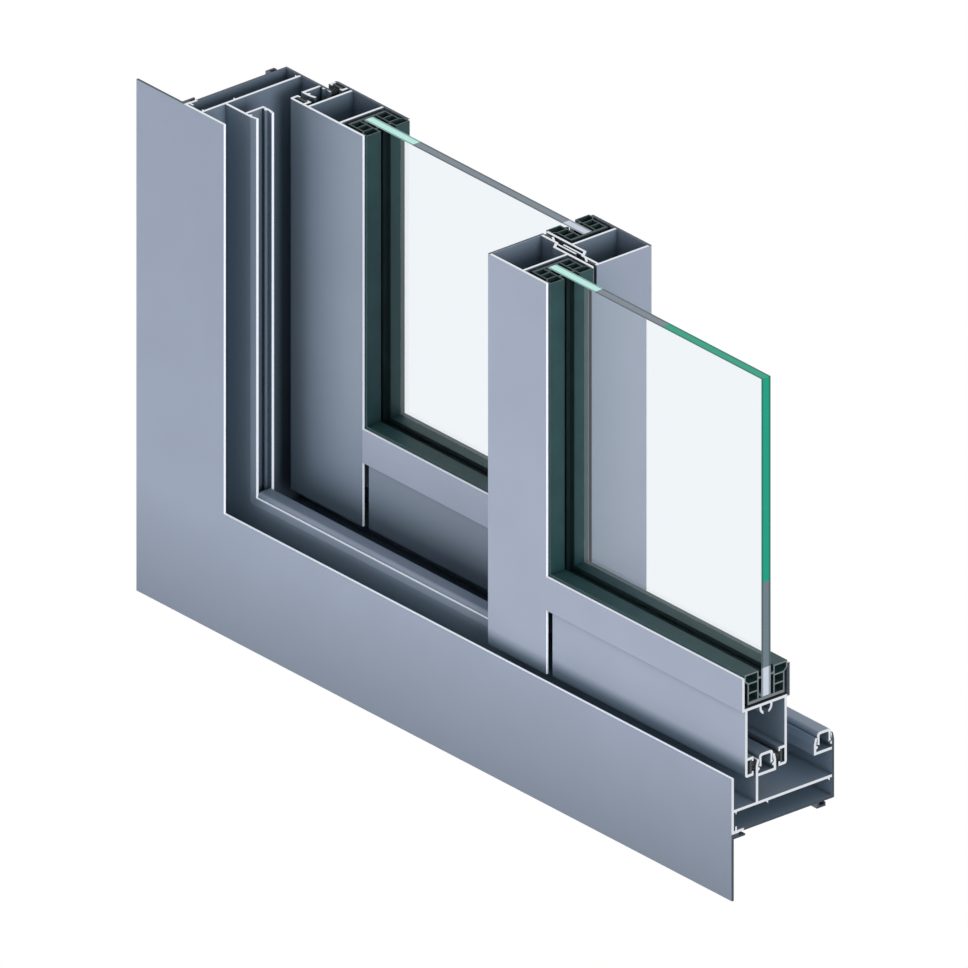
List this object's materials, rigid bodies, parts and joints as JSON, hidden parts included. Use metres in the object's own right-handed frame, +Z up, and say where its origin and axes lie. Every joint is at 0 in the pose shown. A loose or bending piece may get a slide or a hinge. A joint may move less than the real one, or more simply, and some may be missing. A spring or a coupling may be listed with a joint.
{
  "type": "sliding window corner section",
  "caption": "Cut-away corner of a two-track aluminium sliding window: mitred frame, two glazed sashes with interlocking meeting stiles.",
  "frame": {"origin": "reveal corner on the back of the flange, where the sill and the jamb meet", "axes": "+X along the sill, +Y into the wall (square to the flange), +Z up the jamb"},
  "size_m": [0.4632, 0.0759, 0.2845],
  "materials": {
    "coated_aluminium": "satin powder coat, bluish grey",
    "cleat_aluminium": "mill finish",
    "glass": "clear float glass with green edges",
    "gasket_rubber": "matt black-green rubber",
    "brush_pile": "woven pile",
    "zinc_steel": "zinc plated",
    "wheel_nylon": "moulded nylon"
  },
  "bodies": {
    "root": {"frame_sill": "coated_aluminium", "frame_jamb": "coated_aluminium", "front_rail_cap": "coated_aluminium", "rear_rail_cap": "coated_aluminium", "front_sash_meeting_stile": "coated_aluminium", "front_sash_bottom_rail": "coated_aluminium", "rear_sash_meeting_stile": "coated_aluminium", "rear_sash_jamb_stile": "coated_aluminium", "rear_sash_bottom_rail": "coated_aluminium", "frame_corner_cleat": "cleat_aluminium", "front_sash_glass": "glass", "rear_sash_glass": "glass", "front_sash_side_gasket": "gasket_rubber", "front_sash_bottom_gasket": "gasket_rubber", "rear_sash_left_gasket": "gasket_rubber", "rear_sash_right_gasket": "gasket_rubber", "rear_sash_bottom_gasket": "gasket_rubber", "front_meeting_brush": "brush_pile", "rear_meeting_brush": "brush_pile", "front_sash_outer_brush": "brush_pile", "front_sash_inner_brush": "brush_pile", "rear_sash_outer_brush": "brush_pile", "rear_sash_inner_brush": "brush_pile", "jamb_outer_brush": "brush_pile", "jamb_inner_brush": "brush_pile", "front_sash_roller_housing": "zinc_steel", "rear_sash_left_roller_housing": "zinc_steel", "rear_sash_right_roller_housing": "zinc_steel", "front_sash_roller_wheel": "wheel_nylon", "rear_sash_left_roller_wheel": "wheel_nylon", "rear_sash_right_roller_wheel": "wheel_nylon"}
  },
  "joints": []
}
